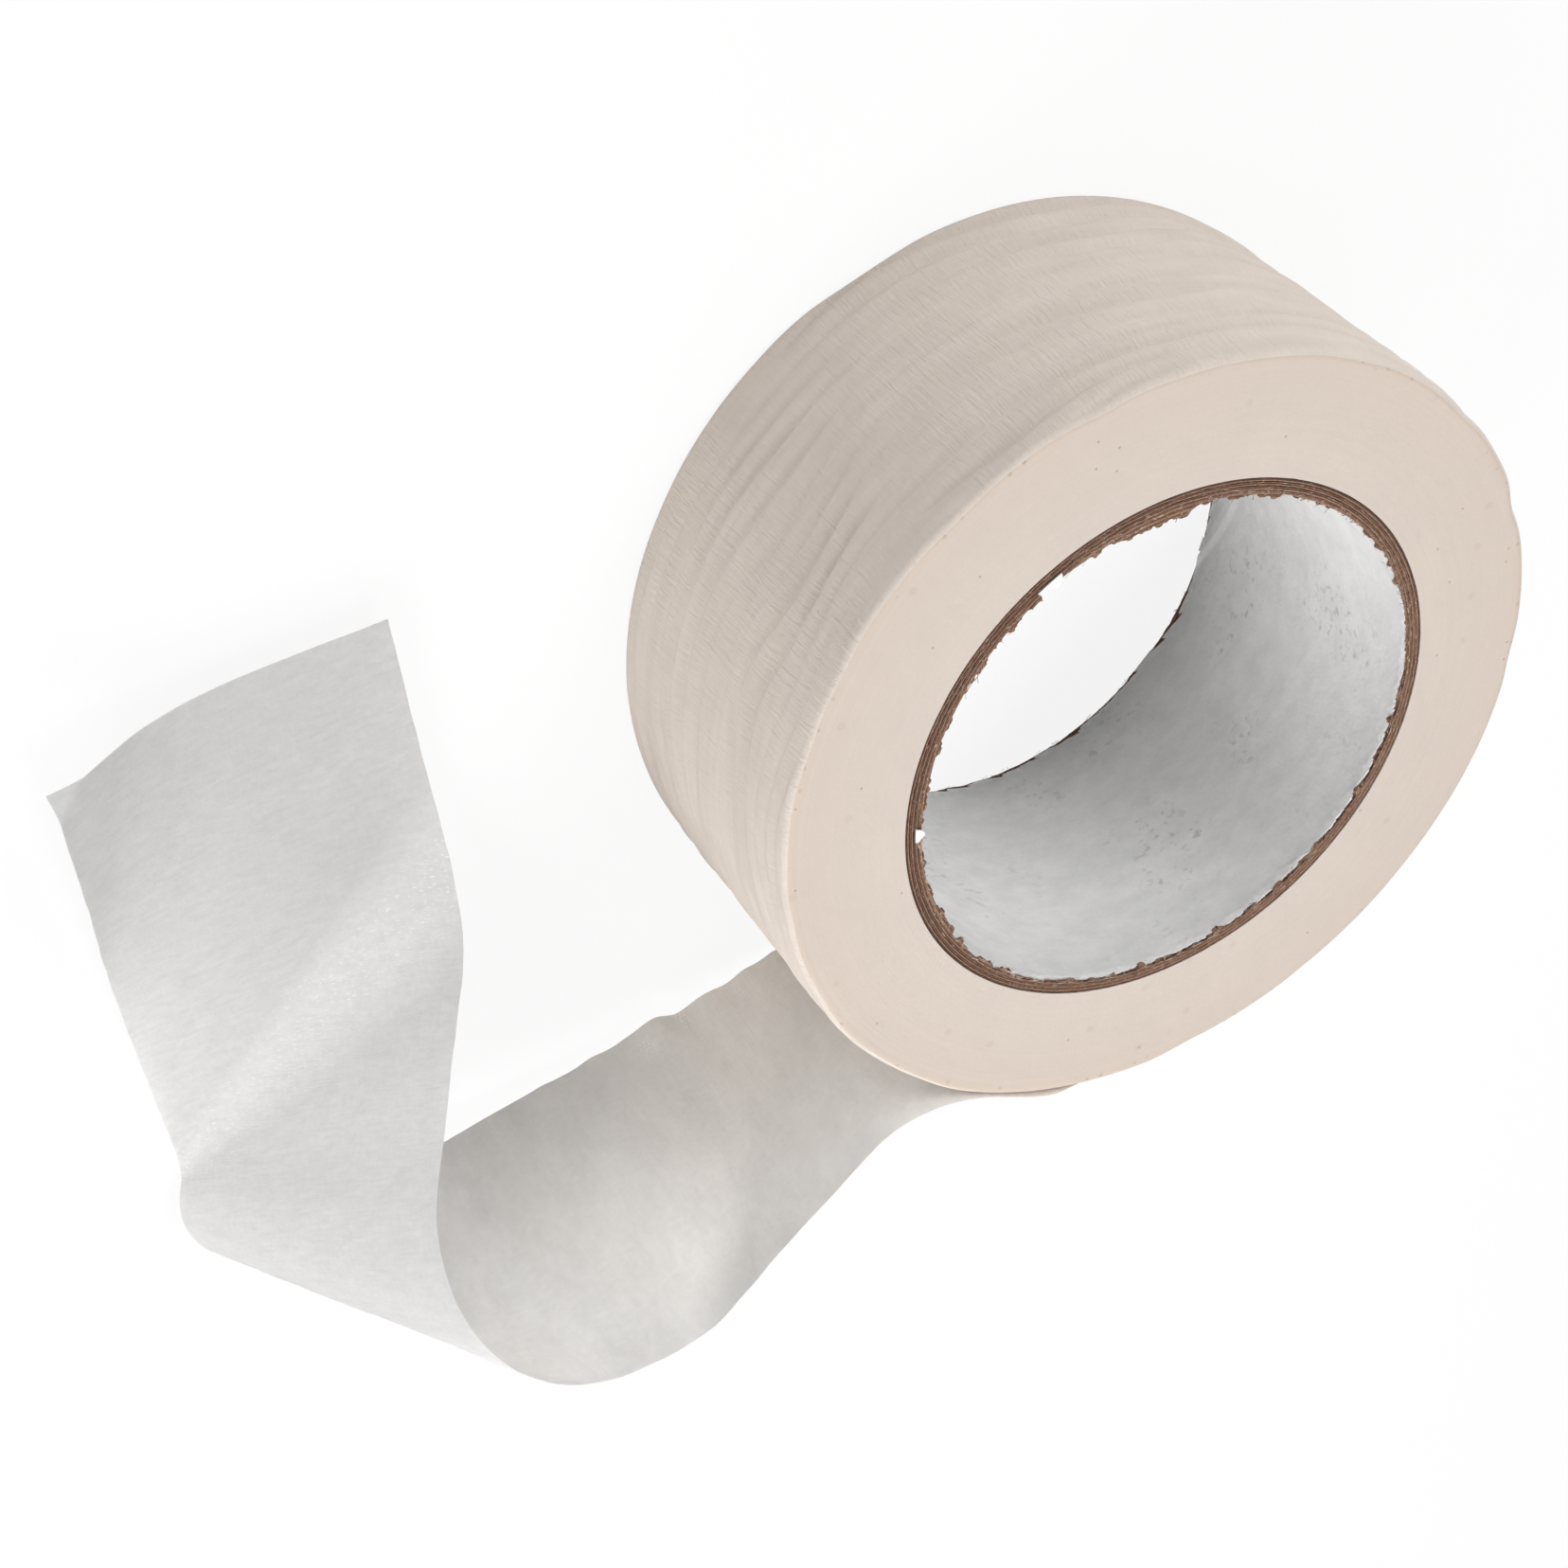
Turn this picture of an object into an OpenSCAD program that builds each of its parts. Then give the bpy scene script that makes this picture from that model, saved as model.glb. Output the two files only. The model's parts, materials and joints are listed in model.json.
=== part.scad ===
// Roll of crepe masking tape lying on its flat side, with a pulled-out tail.
// The roll's axis is Z. The origin is the centre of the core bore, half way across the width.
// The tail is one continuous strip of tape. It is folded here along straight lines that run from its
// top edge to its bottom edge, so the strip is bent but never stretched.

/* [Roll] */
// Width of the tape, across the roll
tape_width = 48; // [44:0.5:54]
// Radius of the hole through the core
bore_radius = 38.1; // [36:0.1:39]
// Radius where the board ends and the wound tape starts
core_radius = 40.2; // [39.9:0.1:42]
// Radius of the wound tape
roll_radius = 58; // [54:0.5:64]

/* [Core board] */
// Thickness of the white paper liner inside the core
liner_thickness = 0.25; // [0.15:0.01:0.35]
// Glue gap between two plies
glue_gap = 0.05; // [0.04:0.01:0.06]

/* [Tape] */
// Thickness of the crepe paper backing
backing_thickness = 0.11; // [0.08:0.01:0.16]
// Thickness of the adhesive coat
adhesive_thickness = 0.03; // [0.02:0.005:0.04]
// Space between the last turn and the turn below it
turn_clearance = 0.12; // [0.1:0.01:0.2]

/* [Tail] */
// Where the tape leaves the roll, as an angle from +X towards +Y
peel_angle = 67; // [50:1:80]
// Length of tape from the peel line to the cut end
tail_length = 202.5; // [195:0.5:225]
// Angle the tape turns away from the roll as it peels
peel_turn = 62; // [30:0.5:70]
// Angle the tape turns back just after the peel
settle_turn = 36.5; // [5:0.5:45]
// Angle of the big curl in the tail
curl_turn = 157; // [90:1:165]
// Angle the tail turns back at the ridge above the curl
ridge_turn = 88; // [40:1:95]
// Angle the last corner of the tail turns back
corner_turn = 28; // [0:0.5:40]

/* [Loose lead-in] */
// How far round the roll the last turn is loose before it peels
loose_arc = 16; // [10:1:60]
// How far the loose part stands off the roll
loose_lift = 0.4; // [0.2:0.1:2]

/* [Hidden] */
$fn = 96;
half_width = tape_width / 2;
strip_radius = roll_radius + turn_clearance;
// Two pieces of tape that meet at a joint stop this far short of the joint line
joint_gap = 0.15;
// Both coats stop this far short of the surface where they meet
coat_gap = 0.005;
// Brown board plies wound over the white liner, each its own node
board_plies = 6;
// Extra length of a cutting shape, so it passes right through
cut_margin = 2;
backing_coat = [coat_gap, backing_thickness];
adhesive_coat = [-adhesive_thickness, -coat_gap];

ply_room = core_radius - bore_radius - liner_thickness - board_plies * glue_gap - glue_gap;
ply_thickness = ply_room / board_plies;

backing_color = [0.87, 0.84, 0.78];
adhesive_color = [0.84, 0.82, 0.77];
pack_color = [0.91, 0.86, 0.78];
liner_color = [0.80, 0.81, 0.81];
board_color = [0.44, 0.30, 0.22];

// A bend is spread over several folds. It runs between two lines, each given by its distance from the
// peel line along the top edge and along the bottom edge.
// [top start, top end, bottom start, bottom end, angle, folds]; a positive angle turns like the winding.
peel_bend = [1.5, 24.5, 0.8, 1.8, -peel_turn, 8];
settle_bend = [56, 58.5, 3.5, 15.5, settle_turn, 4];
curl_bend = [59, 117.5, 100.3, 120.4, curl_turn, 14];
ridge_bend = [144, 176, 120.9, 126.4, -ridge_turn, 8];
corner_bend = [230, 314.5, 146.6, 170.8, -corner_turn, 4];

// Lines where one piece of the tail ends and the next starts: [top edge, bottom edge]
peel_line = [0, 0];
pay_out_line = [40, 2.6];
flex_line_1 = [59.6, 57];
flex_line_2 = [88.25, 110.35];
flex_line_3 = [131, 120.5];
flex_line_4 = [188, 131];
// Line from the top corner of the cut end down to the bottom edge
corner_line = [tail_length, 140];
// How much of the cut edge below the last fold is left as one flat facet
last_facet_share = 0.35;

// ---- Matrices for folding the strip. Strip axes: along the tape, out of its backing, up. ----

function unit(v) = v / norm(v);

function turn_matrix(axis, angle) =
    let (c = cos(angle), s = sin(angle), k = 1 - c, x = axis[0], y = axis[1], z = axis[2])
    [[c + x * x * k, x * y * k - z * s, x * z * k + y * s],
     [y * x * k + z * s, c + y * y * k, y * z * k - x * s],
     [z * x * k - y * s, z * y * k + x * s, c + z * z * k]];

// A placement is [origin, 3x3 matrix]
function place(placement, point) = placement[0] + placement[1] * point;

function fold_axis(placement, top, bottom) =
    unit(place(placement, [bottom, 0, -half_width]) - place(placement, [top, 0, half_width]));

function fold(placement, line) =
    let (hinge = place(placement, [line[0], 0, half_width]),
         turn = turn_matrix(fold_axis(placement, line[0], line[1]), line[2]))
    [hinge + turn * (placement[0] - hinge), turn * placement[1]];

// Folds of one bend: [top, bottom, angle]
function folds_of(bend) =
    [for (k = [0 : bend[5] - 1])
        let (share = (k + 0.5) / bend[5])
        [bend[0] + share * (bend[1] - bend[0]), bend[2] + share * (bend[3] - bend[2]), bend[4] / bend[5]]];

function first_half(list) = [for (k = [0 : len(list) / 2 - 1]) list[k]];
function second_half(list) = [for (k = [len(list) / 2 : len(list) - 1]) list[k]];

// Placement of the flat part that follows a list of folds
function after_folds(start, lines, k = 0) =
    k == len(lines) ? start : after_folds(fold(start, lines[k]), lines, k + 1);

peel_direction = [sin(peel_angle), -cos(peel_angle), 0];
peel_normal = [cos(peel_angle), sin(peel_angle), 0];
peel_start = [strip_radius * peel_normal,
              [[peel_direction[0], peel_normal[0], 0],
               [peel_direction[1], peel_normal[1], 0],
               [0, 0, 1]]];

peel_folds = folds_of(peel_bend);
run_folds = folds_of(settle_bend);
curl_lower_folds = first_half(folds_of(curl_bend));
curl_upper_folds = second_half(folds_of(curl_bend));
ridge_folds = folds_of(ridge_bend);
corner_folds = folds_of(corner_bend);

run_start = after_folds(peel_start, peel_folds);
curl_lower_start = after_folds(run_start, run_folds);
curl_upper_start = after_folds(curl_lower_start, curl_lower_folds);
rise_start = after_folds(curl_upper_start, curl_upper_folds);
end_start = after_folds(rise_start, ridge_folds);

// ---- Strip solids ----

// Four corners of the strip at one line: the two coat faces at the top, then at the bottom. A line
// whose top end would pass the cut end stops on the cut edge instead, at a share of the way down it.
// A fourth value in the line states that share.
function line_corners(placement, line, coat) =
    let (top = line[0], bottom = line[1],
         cut_share = len(line) > 3 ? line[3] : top > tail_length ? cut_share_of(line) : 0,
         top_point = [min(top, tail_length), 0, half_width - cut_share * tape_width],
         bottom_point = [bottom, 0, -half_width],
         axis = unit(bottom_point - top_point),
         lean = [0, 1, 0] + tan(line[2] / 2) * cross(axis, [0, 1, 0]))
    [for (point = [top_point, bottom_point]) for (n = coat) place(placement, point + n * lean)];

function strip_corners(start, lines, coat, k = 0) =
    k == len(lines) ? [] : concat(
        line_corners(start, lines[k], coat),
        strip_corners(lines[k][2] == 0 ? start : fold(start, lines[k]), lines, coat, k + 1));

function quad(a, b, c, d) = [[a, b, c], [a, c, d]];

// Lines are [top, bottom, angle], in order along the strip
module strip(start, lines, coat) {
    count = len(lines);
    last = 4 * (count - 1);
    sides = [for (k = [0 : count - 2]) let (i = 4 * k, j = i + 4) each concat(
        quad(i + 3, j + 3, j + 1, i + 1),
        quad(i, j, j + 2, i + 2),
        quad(i, i + 1, j + 1, j),
        quad(i + 2, j + 2, j + 3, i + 3))];
    ends = concat(quad(0, 2, 3, 1), quad(last, last + 1, last + 3, last + 2));
    polyhedron(points = strip_corners(start, lines, coat), faces = concat(sides, ends), convexity = 8);
}

// A line moved along the strip, with no fold on it
function plain_line(line, shift) = [line[0] + shift, line[1] + shift, 0];

function piece_lines(from, folds, to) =
    concat([plain_line(from, joint_gap)], folds, [plain_line(to, -joint_gap)]);

function cut_share_of(line) = (line[0] - tail_length) / (line[0] - line[1]);

last_fold = corner_folds[len(corner_folds) - 1];
last_line = [tail_length, tail_length, 0, 1 - last_facet_share * (1 - cut_share_of(last_fold))];
end_lines = concat(
    [plain_line(flex_line_4, joint_gap), plain_line(corner_line, 0)], corner_folds, [last_line]);

// ---- Loose part of the last turn, which still follows the roll ----

loose_steps = 12;
function loose_radius(share) = strip_radius + loose_lift * pow(sin(180 * share), 2);

module loose_turn(coat) {
    gap_angle = joint_gap / strip_radius * 180 / PI;
    angles = [for (k = [0 : loose_steps]) k / loose_steps];
    inner = [for (a = angles) [loose_radius(a) + coat[0], peel_angle + gap_angle + a * loose_arc]];
    outer = [for (a = angles) [loose_radius(a) + coat[1], peel_angle + gap_angle + a * loose_arc]];
    outline = concat(inner, [for (k = [loose_steps : -1 : 0]) outer[k]]);
    translate([0, 0, -half_width])
        linear_extrude(tape_width)
            polygon([for (p = outline) p[0] * [cos(p[1]), sin(p[1])]]);
}

// ---- Core and wound tape ----

module tube(inner, outer, length) {
    difference() {
        cylinder(h = length, r = outer, center = true);
        cylinder(h = length + cut_margin, r = inner, center = true);
    }
}

// Ply 1 is next to the liner
module board_ply(ply) {
    inner = bore_radius + liner_thickness + glue_gap + (ply - 1) * (ply_thickness + glue_gap);
    color(board_color) tube(inner, inner + ply_thickness, tape_width);
}

module core_ply_1() {
    board_ply(1);
}

module core_ply_2() {
    board_ply(2);
}

module core_ply_3() {
    board_ply(3);
}

module core_ply_4() {
    board_ply(4);
}

module core_ply_5() {
    board_ply(5);
}

module core_ply_6() {
    board_ply(6);
}

module core_liner() {
    color(liner_color) tube(bore_radius, bore_radius + liner_thickness, tape_width);
}

module wound_tape() {
    color(pack_color) tube(core_radius, roll_radius, tape_width);
}

module lead_backing() {
    color(backing_color) loose_turn(backing_coat);
}

module lead_adhesive() {
    color(adhesive_color) loose_turn(adhesive_coat);
}

module peel_piece(coat) {
    strip(peel_start, piece_lines(peel_line, peel_folds, pay_out_line), coat);
}

module run_piece(coat) {
    strip(run_start, piece_lines(pay_out_line, run_folds, flex_line_1), coat);
}

module curl_lower_piece(coat) {
    strip(curl_lower_start, piece_lines(flex_line_1, curl_lower_folds, flex_line_2), coat);
}

module curl_upper_piece(coat) {
    strip(curl_upper_start, piece_lines(flex_line_2, curl_upper_folds, flex_line_3), coat);
}

module rise_piece(coat) {
    strip(rise_start, piece_lines(flex_line_3, ridge_folds, flex_line_4), coat);
}

module end_piece(coat) {
    strip(end_start, end_lines, coat);
}

module peel_backing() {
    color(backing_color) peel_piece(backing_coat);
}

module peel_adhesive() {
    color(adhesive_color) peel_piece(adhesive_coat);
}

module run_backing() {
    color(backing_color) run_piece(backing_coat);
}

module run_adhesive() {
    color(adhesive_color) run_piece(adhesive_coat);
}

module curl_lower_backing() {
    color(backing_color) curl_lower_piece(backing_coat);
}

module curl_lower_adhesive() {
    color(adhesive_color) curl_lower_piece(adhesive_coat);
}

module curl_upper_backing() {
    color(backing_color) curl_upper_piece(backing_coat);
}

module curl_upper_adhesive() {
    color(adhesive_color) curl_upper_piece(adhesive_coat);
}

module rise_backing() {
    color(backing_color) rise_piece(backing_coat);
}

module rise_adhesive() {
    color(adhesive_color) rise_piece(adhesive_coat);
}

module end_backing() {
    color(backing_color) end_piece(backing_coat);
}

module end_adhesive() {
    color(adhesive_color) end_piece(adhesive_coat);
}

core_liner();
core_ply_1();
core_ply_2();
core_ply_3();
core_ply_4();
core_ply_5();
core_ply_6();
wound_tape();
lead_backing();
lead_adhesive();
peel_backing();
peel_adhesive();
run_backing();
run_adhesive();
curl_lower_backing();
curl_lower_adhesive();
curl_upper_backing();
curl_upper_adhesive();
rise_backing();
rise_adhesive();
end_backing();
end_adhesive();
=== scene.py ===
"""Looks of a roll of crepe masking tape that lies on its side with a pulled-out tail."""
import json
import math

import bpy
import numpy as np
from mathutils import Matrix, Vector, noise

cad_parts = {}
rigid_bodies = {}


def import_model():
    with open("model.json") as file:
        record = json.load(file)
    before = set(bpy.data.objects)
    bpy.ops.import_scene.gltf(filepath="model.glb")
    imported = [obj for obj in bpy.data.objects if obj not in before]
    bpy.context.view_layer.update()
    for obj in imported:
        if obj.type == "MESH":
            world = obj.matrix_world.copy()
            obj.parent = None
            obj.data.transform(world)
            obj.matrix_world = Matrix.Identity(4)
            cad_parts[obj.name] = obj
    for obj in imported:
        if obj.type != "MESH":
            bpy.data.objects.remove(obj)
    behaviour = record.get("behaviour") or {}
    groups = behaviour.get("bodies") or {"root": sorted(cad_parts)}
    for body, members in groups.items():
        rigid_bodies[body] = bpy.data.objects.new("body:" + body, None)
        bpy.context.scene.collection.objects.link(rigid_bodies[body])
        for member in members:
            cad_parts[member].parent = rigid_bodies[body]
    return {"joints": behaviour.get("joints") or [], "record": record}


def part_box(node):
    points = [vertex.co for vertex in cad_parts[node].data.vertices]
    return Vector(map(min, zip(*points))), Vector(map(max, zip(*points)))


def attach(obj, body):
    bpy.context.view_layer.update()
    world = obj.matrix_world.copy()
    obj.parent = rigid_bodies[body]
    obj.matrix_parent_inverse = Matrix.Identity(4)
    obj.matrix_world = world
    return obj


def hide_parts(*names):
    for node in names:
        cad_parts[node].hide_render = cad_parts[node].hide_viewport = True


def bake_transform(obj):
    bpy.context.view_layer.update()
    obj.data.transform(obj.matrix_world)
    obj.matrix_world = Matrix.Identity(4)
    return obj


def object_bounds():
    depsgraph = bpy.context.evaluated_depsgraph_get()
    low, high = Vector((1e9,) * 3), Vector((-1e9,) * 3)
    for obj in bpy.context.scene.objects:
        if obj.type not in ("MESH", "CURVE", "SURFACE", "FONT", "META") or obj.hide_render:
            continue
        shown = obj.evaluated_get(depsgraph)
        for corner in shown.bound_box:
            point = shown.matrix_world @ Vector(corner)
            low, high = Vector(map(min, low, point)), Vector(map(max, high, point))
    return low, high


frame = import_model()
CAD_LOW, CAD_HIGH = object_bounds()

# ---- Driving sizes, in metres, read from the frame ----

MM = 0.001
FULL_TURN = 2 * math.pi

HALF_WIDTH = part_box("wound_tape")[1].z
ROLL_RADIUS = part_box("wound_tape")[1].x
LINER_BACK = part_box("core_liner")[1].x
BORE_MOUNT = next(mount for mount in frame["record"]["mounts"] if mount["name"] == "core_bore")
BORE_RADIUS = BORE_MOUNT["dims"]["r_mm"] * MM
PLY_NODES = [f"core_ply_{ply}" for ply in range(1, 7)]
PLY_RADII = [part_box(node)[1].x for node in PLY_NODES]
PLY_PITCH = PLY_RADII[1] - PLY_RADII[0]
BOARD_RADIUS = PLY_RADII[-1]
JOINTS = {joint["name"]: joint for joint in frame["joints"]}

PEEL_POINT = Vector(JOINTS["peel_lift"]["pos_m"])
PEEL_ANGLE = math.atan2(PEEL_POINT.y, PEEL_POINT.x)
STRIP_RADIUS = PEEL_POINT.length
TAIL_LENGTH = 202.5 * MM
LOOSE_ARC = math.radians(16)
LOOSE_LIFT = 0.4 * MM

# The two coats of the tape, as heights above the strip's middle surface
BACKING_COAT = (0.005 * MM, 0.11 * MM)
ADHESIVE_COAT = (-0.03 * MM, -0.005 * MM)

# The bends of the tail, as in the CAD but with a softer settle bend. Each runs between two lines,
# given in mm from the peel line: top edge start and end, bottom edge start and end. Last comes its
# whole turn in degrees.
BENDS = {
    "peel": (1.5, 24.5, 0.8, 1.8, -62.6),
    "settle": (52.7, 59, 2.5, 16.3, 37.1),
    "curl": (59, 117.5, 100.3, 120.4, 157),
    "ridge": (144, 176, 120.9, 126.4, -88),
    "corner": (230, 314.5, 146.6, 170.8, -28),
}
# Folds closer than this read as a smooth bend
LARGEST_FOLD = math.radians(1.5)
# Middle of the ridge at the bottom and the top edge of the tape, as distances from the peel line
RIDGE_FOOT = (BENDS["ridge"][2] + BENDS["ridge"][3]) / 2 * MM
RIDGE_TIP = (BENDS["ridge"][0] + BENDS["ridge"][1]) / 2 * MM


# ---- Random fields ----

# Each seed reads the noise far from where the others do
SEED_STEP = 17.31


def noise_at(points, size, seed=0):
    """Smooth random field, about -1 to 1, with features of the given size (one number or three)."""
    spread = np.asarray(points) / np.asarray(size) + seed * SEED_STEP
    values = [noise.noise(point) for point in spread.reshape(-1, 3).tolist()]
    return np.array(values).reshape(spread.shape[:-1])


def ring_points(angle, height=0.0, radius=BORE_RADIUS):
    """Points round the roll's axis."""
    angle, height, radius = np.broadcast_arrays(angle, height, radius)
    return np.stack([radius * np.cos(angle), radius * np.sin(angle), height], axis=-1)


def uneven(points, *layers):
    """Sum of random fields. Each layer is its height, the size of its features and its seed."""
    return sum(height * noise_at(points, size, seed) for height, size, seed in layers)


def line_points(distance):
    """Points along a straight line, to feed to noise_at."""
    return np.stack([distance, 0 * distance, 0 * distance], axis=-1)


def smooth_step(values, start, end):
    share = np.clip((values - start) / (end - start), 0, 1)
    return share * share * (3 - 2 * share)


def angle_from(angle, middle):
    """Unsigned angle between two directions."""
    return np.abs((angle - middle + math.pi) % FULL_TURN - math.pi)


# ---- Meshes ----

SHARP_ANGLE = math.radians(50)


def grid_faces(rows, columns, first=0, closed=False):
    """Quads between neighbouring points of a grid stored row by row. A closed grid wraps both ways."""
    row = np.arange(rows if closed else rows - 1)[:, None]
    column = np.arange(columns if closed else columns - 1)[None, :]
    next_row = (row + 1) % rows
    next_column = (column + 1) % columns
    corners = [row * columns + column, next_row * columns + column,
               next_row * columns + next_column, row * columns + next_column]
    return first + np.stack([corner + 0 * row + 0 * column for corner in corners], axis=-1).reshape(-1, 4)


def make_object(name, points, faces, materials, face_materials=None, uv=None):
    mesh = bpy.data.meshes.new(name)
    mesh.from_pydata(points.reshape(-1, 3).tolist(), [], faces.tolist())
    for material in materials:
        mesh.materials.append(material)
    if face_materials is not None:
        mesh.polygons.foreach_set("material_index", face_materials)
    if uv is not None:
        layer = mesh.uv_layers.new(name="tape")
        layer.data.foreach_set("uv", uv.astype(np.float32).ravel())
    mesh.polygons.foreach_set("use_smooth", [True] * len(mesh.polygons))
    mesh.set_sharp_from_angle(angle=SHARP_ANGLE)
    mesh.update()
    thing = bpy.data.objects.new(name, mesh)
    bpy.context.scene.collection.objects.link(thing)
    return thing


def closed_ring(name, points, arc_radius, across, materials, face_materials=None):
    """A solid round the roll's axis. Each column of points is the outline of a cut through it.

    The texture runs round by the arc at one radius, and over the outline by the distances in across."""
    rows, turns = points.shape[:2]
    arc = np.linspace(0, FULL_TURN, turns + 1)[None, :] * arc_radius + 0 * across[:, None]
    corners = np.stack([arc, across[:, None] + 0 * arc], axis=-1).reshape(-1, 2)
    uv = corners[grid_faces(rows + 1, turns + 1)].reshape(-1, 2)
    faces = grid_faces(rows, turns, closed=True)
    return make_object(name, points, faces, materials, face_materials, uv)


def shell(name, upper, lower, materials, uv=None):
    """A closed thin solid between two grids of the same size."""
    rows, columns = upper.shape[:2]
    count = rows * columns
    top = grid_faces(rows, columns)
    under = grid_faces(rows, columns, first=count)[:, ::-1]
    index = np.arange(count).reshape(rows, columns)
    rim = np.concatenate([index[0, :], index[1:, -1], index[-1, -2::-1], index[-2:0:-1, 0]])
    ahead = np.roll(rim, -1)
    side = np.stack([rim, ahead, ahead + count, rim + count], axis=-1)
    faces = np.concatenate([top, under, side])
    points = np.concatenate([upper.reshape(-1, 3), lower.reshape(-1, 3)])
    if uv is not None:
        flat = np.concatenate([uv.reshape(-1, 2)] * 2)
        uv = flat[faces].reshape(-1, 2)
    return make_object(name, points, faces, materials, uv=uv)


def place_on_root(thing, slot, *nodes):
    """The piece stays with the roll and stands for these CAD nodes, which are hidden. The slot is not used.
    """
    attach(thing, "root")
    if nodes:
        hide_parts(*nodes)


# ---- Material nodes ----

# Noise nodes rarely leave this range
NOISE_LOW = 0.3
NOISE_HIGH = 0.7


class Shader:
    """A material whose nodes are added one call at a time. Noise, specks and bumps are sized in mm."""

    def __init__(self, name):
        self.material = bpy.data.materials.new(name)
        self.material.use_nodes = True
        self.tree = self.material.node_tree
        self.tree.nodes.clear()
        self.output = self.tree.nodes.new("ShaderNodeOutputMaterial")

    def add(self, kind, inputs=None, **settings):
        made = self.tree.nodes.new(f"ShaderNode{kind}")
        for key, value in settings.items():
            setattr(made, key, value)
        for key, value in (inputs or {}).items():
            if isinstance(value, bpy.types.NodeSocket):
                self.tree.links.new(value, made.inputs[key])
            else:
                made.inputs[key].default_value = value
        return made

    def math(self, operation, first, second=0.0, third=0.0):
        made = self.add("Math", {0: first, 1: second, 2: third}, operation=operation)
        return made.outputs[0]

    def sum(self, first, second):
        return self.math("ADD", first, second)

    def product(self, first, second):
        return self.math("MULTIPLY", first, second)

    def remap(self, value, low, high, new_low=0.0, new_high=1.0):
        made = self.add("MapRange", {"Value": value, "From Min": low, "From Max": high,
                                     "To Min": new_low, "To Max": new_high})
        return made.outputs["Result"]

    def spread(self, value, new_low, new_high):
        """A noise value spread from one number to another."""
        return self.remap(value, NOISE_LOW, NOISE_HIGH, new_low, new_high)

    def place(self):
        return self.add("TexCoord").outputs["Object"]

    def tape_place(self):
        """Distance along the tape and height across it, in metres."""
        return self.add("UVMap", uv_map="tape").outputs["UV"]

    def part(self, vector, axis):
        return self.add("SeparateXYZ", {"Vector": vector}).outputs[axis]

    def radius(self):
        """Distance from the roll's axis."""
        parts = self.add("SeparateXYZ", {"Vector": self.place()})
        x, y = parts.outputs["X"], parts.outputs["Y"]
        return self.math("SQRT", self.sum(self.product(x, x), self.product(y, y)))

    def scaled(self, vector, scale):
        made = self.add("VectorMath", {0: vector, 1: scale}, operation="MULTIPLY")
        return made.outputs["Vector"]

    def noise(self, vector, *sizes, detail=3.0, roughness=0.5, distortion=0.0):
        """Noise from 0 to 1. The size of its features is one number, or one for each axis."""
        sizes = sizes * 3 if len(sizes) == 1 else (*sizes, 1)[:3]
        stretched = self.scaled(vector, tuple(1 / (size * MM) for size in sizes))
        made = self.add("TexNoise", {"Vector": stretched, "Scale": 1.0, "Detail": detail,
                                     "Roughness": roughness, "Distortion": distortion})
        return made.outputs["Fac"]

    def mix(self, share, first, second):
        """Two colours, with the second one's share."""
        first, second = (
            (*colour, 1.0) if isinstance(colour, tuple) else colour for colour in (first, second))
        return self.add("Mix", {0: share, 6: first, 7: second}, data_type="RGBA").outputs[2]

    def tint(self, colour, strength):
        """The colour made lighter or darker by a value that is 1 for no change."""
        made = self.add("VectorMath", {0: colour, "Scale": strength}, operation="SCALE")
        return made.outputs["Vector"]

    def specks(self, vector, spacing, radius, share, flat=False):
        """1 inside sparse small dots, 0 elsewhere. Flat dots are spread over X and Y only."""
        stretched = self.scaled(vector, (1 / (spacing * MM),) * 3)
        cells = self.add("TexVoronoi", {"Vector": stretched, "Scale": 1.0},
                         voronoi_dimensions="2D" if flat else "3D")
        near = self.remap(cells.outputs["Distance"], radius / spacing, 0.5 * radius / spacing)
        chosen = self.add("SeparateColor", {"Color": cells.outputs["Color"]}).outputs["Red"]
        return self.product(near, self.math("LESS_THAN", chosen, share))

    def bump(self, height, depth, normal=None):
        inputs = {"Height": height, "Distance": depth * MM, "Strength": 1.0}
        if normal is not None:
            inputs["Normal"] = normal
        return self.add("Bump", inputs).outputs["Normal"]

    def surface(self, **inputs):
        names = {"colour": "Base Color", "roughness": "Roughness", "normal": "Normal",
                 "specular": "Specular IOR Level"}
        made = self.add("BsdfPrincipled", {names[key]: value for key, value in inputs.items()})
        return made.outputs["BSDF"]

    def blend(self, share, first, second):
        """Two shaders, with the second one's share."""
        return self.add("MixShader", {0: share, 1: first, 2: second}).outputs["Shader"]

    def finish(self, shader):
        self.tree.links.new(shader, self.output.inputs["Surface"])
        return self.material


CREAM = (0.645, 0.572, 0.512)
PEACH = (0.622, 0.53, 0.458)
RIM_PEACH = (0.66, 0.54, 0.445)
SPECK_BROWN = (0.36, 0.27, 0.19)
WRAP_BEIGE = (0.68, 0.60, 0.532)
WRAP_PALE = (0.775, 0.692, 0.622)


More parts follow.
